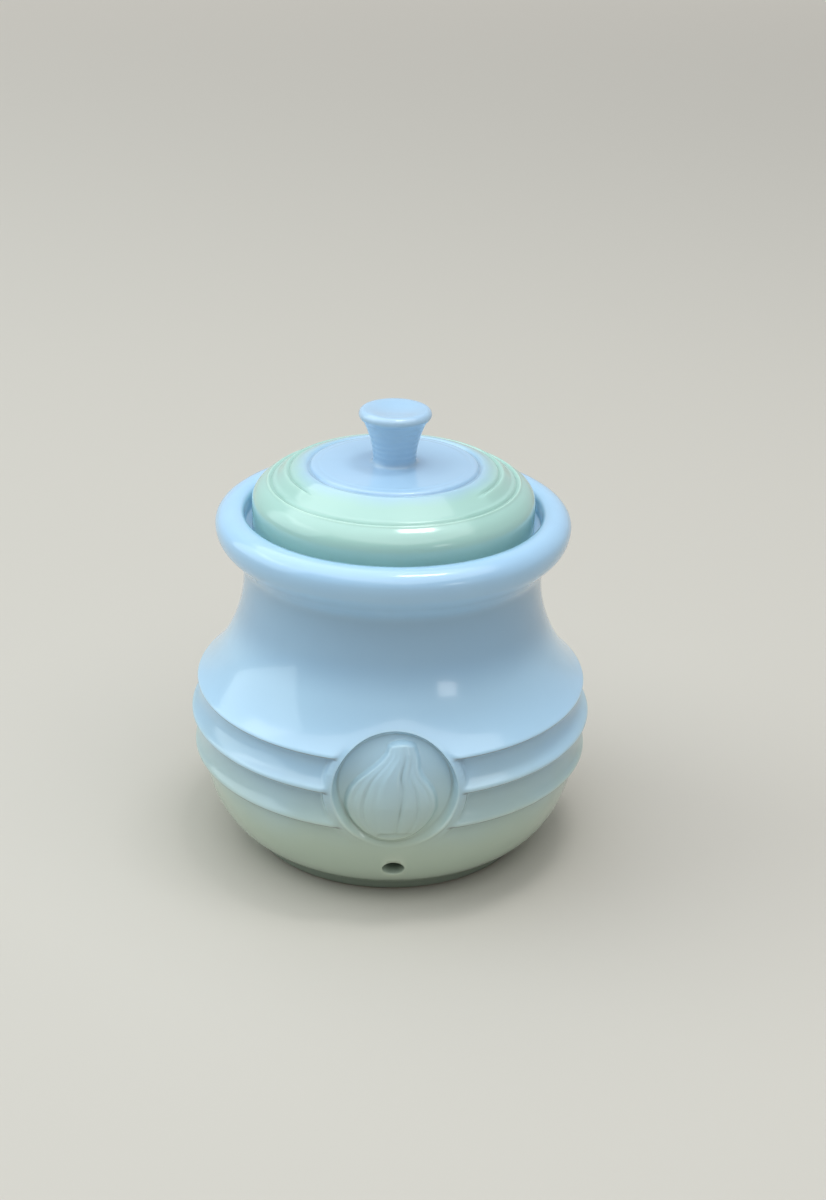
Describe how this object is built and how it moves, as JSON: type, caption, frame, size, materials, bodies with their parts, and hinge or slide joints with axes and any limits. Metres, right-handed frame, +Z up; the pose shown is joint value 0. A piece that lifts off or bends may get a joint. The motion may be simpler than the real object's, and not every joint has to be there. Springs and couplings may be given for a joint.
{
  "type": "garlic keeper",
  "caption": "Glazed stoneware garlic keeper: a vented, ribbed pot with a garlic bulb medallion and a domed lid with a flared knob that lifts off.",
  "frame": {"origin": "centre of the foot ring on the surface that the pot stands on, on the axis that pot and lid are turned about", "axes": "+Z up along the turned axis through the knob, -Y towards the front with the medallion, +X to the right seen from the front"},
  "size_m": [0.13, 0.1293, 0.1452],
  "materials": {
    "pot_glaze": "glossy glaze, bluish white, warming to pale yellow-green at the foot",
    "lid_glaze": "glossy glaze, pale yellow-green rings round a bluish white disc and knob"
  },
  "bodies": {
    "pot": {"pot": "pot_glaze"},
    "lid": {"lid": "lid_glaze"}
  },
  "joints": [
    {"name": "lid_lift", "type": "slide", "parent": "pot", "child": "lid", "axis": [0, 0, 1], "range_m": [0, 0.08]}
  ]
}
